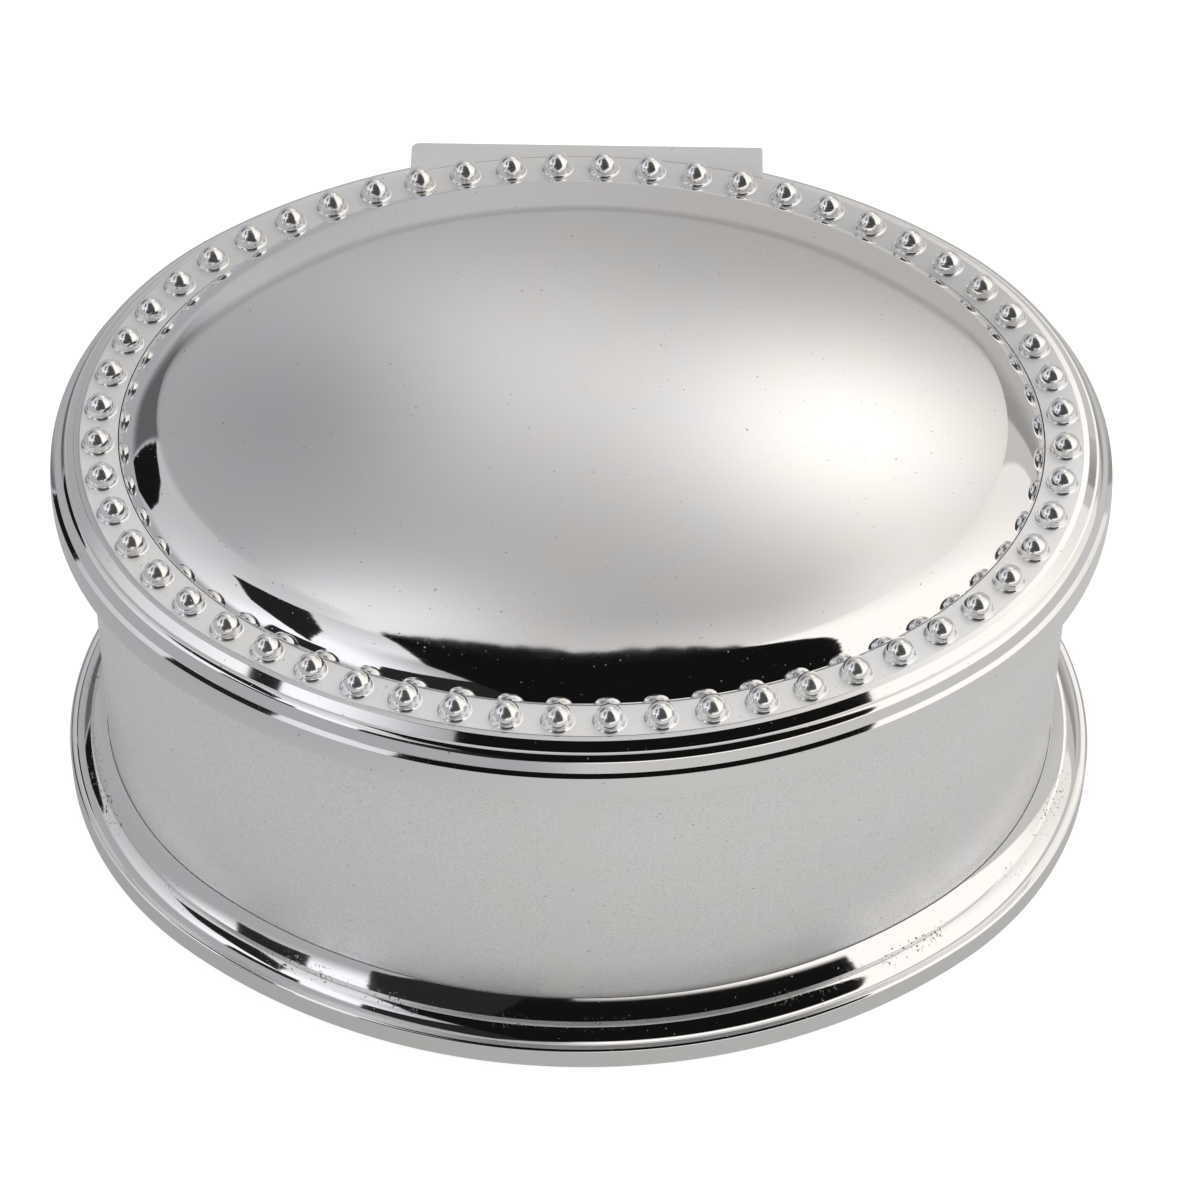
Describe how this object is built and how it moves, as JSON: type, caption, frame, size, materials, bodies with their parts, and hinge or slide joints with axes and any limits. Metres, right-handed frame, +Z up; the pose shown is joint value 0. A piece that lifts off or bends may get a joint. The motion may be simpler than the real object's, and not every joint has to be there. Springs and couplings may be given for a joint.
{
  "type": "oval trinket box",
  "caption": "Oval silver-plated trinket box on a moulded foot, with a domed lid hinged at the back, a beaded border and a velvet lining.",
  "frame": {"origin": "on the table, under the middle of the oval foot", "axes": "+X along the length of the oval, +Y to the back where the hinge is, +Z up"},
  "size_m": [0.0898, 0.0742, 0.044],
  "materials": {
    "silver_plate": "mirror polished silver plate",
    "pin_steel": "drawn wire",
    "base_felt": "dense short felt",
    "lining_card": "plain board",
    "lining_velvet": "deep blue velvet",
    "padding": "soft wadding"
  },
  "bodies": {
    "box": {"foot_moulding": "silver_plate", "base_felt": "base_felt", "base_plate": "silver_plate", "body_wall": "silver_plate", "base_hinge_bearer": "silver_plate", "base_knuckle_left": "silver_plate", "base_knuckle_centre": "silver_plate", "base_knuckle_right": "silver_plate", "hinge_pin": "pin_steel", "wall_lining_card": "lining_card", "wall_lining_velvet": "lining_velvet", "floor_board": "lining_card", "floor_padding": "padding", "floor_velvet": "lining_velvet"},
    "lid": {"lid_frame": "silver_plate", "bead_border": "silver_plate", "lid_dome": "silver_plate", "lid_hinge_plate": "silver_plate", "lid_knuckle_left": "silver_plate", "lid_knuckle_right": "silver_plate", "lid_board": "lining_card", "lid_padding": "padding", "lid_velvet": "lining_velvet"}
  },
  "joints": [
    {"name": "lid_hinge", "type": "hinge", "parent": "box", "child": "lid", "pos_m": [0, 0.0346, 0.03535], "axis": [-1, 0, 0], "range_deg": [0, 100]}
  ]
}
